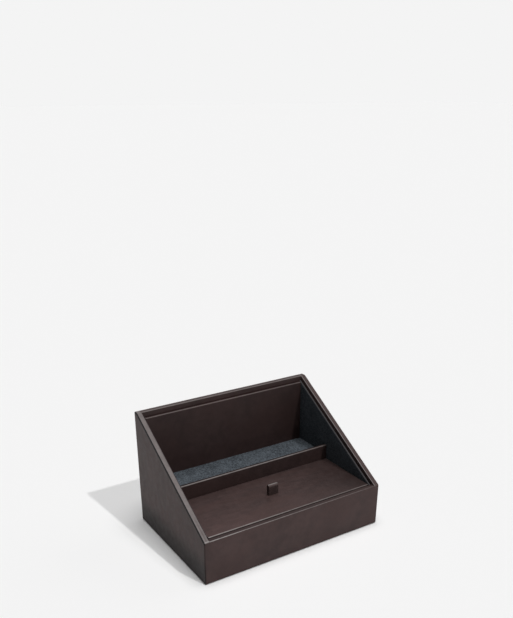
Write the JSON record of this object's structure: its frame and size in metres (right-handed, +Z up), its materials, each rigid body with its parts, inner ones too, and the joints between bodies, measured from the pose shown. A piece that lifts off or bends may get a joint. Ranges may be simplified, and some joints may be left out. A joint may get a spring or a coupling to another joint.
{
  "type": "valet box",
  "caption": "Wedge-shaped leather valet box: open velvet-lined rear compartment on a raised floor, a divider, and a front compartment under a lift-out lid with a pull loop.",
  "frame": {"origin": "centre of the underside", "axes": "+X to the right across the width seen from the front, -Y towards the front, +Z up"},
  "size_m": [0.181, 0.1232, 0.1096],
  "materials": {
    "brown_leather": "satin, fine grain",
    "slate_velvet": "short pile",
    "wall_board": "raw fibreboard",
    "liner_card": "raw grey card",
    "base_felt": "thin felt"
  },
  "bodies": {
    "case": {"base_board": "wall_board", "front_board": "wall_board", "back_board": "wall_board", "left_board": "wall_board", "right_board": "wall_board", "outer_wrap": "brown_leather", "base_infill": "liner_card", "base_sheet": "base_felt", "left_liner_card": "liner_card", "right_liner_card": "liner_card", "left_liner_velvet": "slate_velvet", "right_liner_velvet": "slate_velvet", "back_liner_card": "liner_card", "back_liner_leather": "brown_leather", "divider_board": "wall_board", "divider_leather": "brown_leather", "front_ledge_board": "wall_board", "front_ledge_velvet": "slate_velvet", "back_ledge_board": "wall_board", "back_ledge_velvet": "slate_velvet", "front_floor_card": "liner_card", "front_floor_velvet": "slate_velvet", "rear_floor_board": "wall_board", "rear_floor_velvet": "slate_velvet", "front_riser": "wall_board", "back_riser": "wall_board", "left_riser": "wall_board", "right_riser": "wall_board"},
    "lid": {"lid_board": "wall_board", "lid_leather": "brown_leather", "lid_lining": "slate_velvet", "pull_loop": "brown_leather"}
  },
  "joints": [
    {"name": "lid_lift", "type": "slide", "parent": "case", "child": "lid", "axis": [0, 0, 1], "range_m": [0, 0.08]}
  ]
}
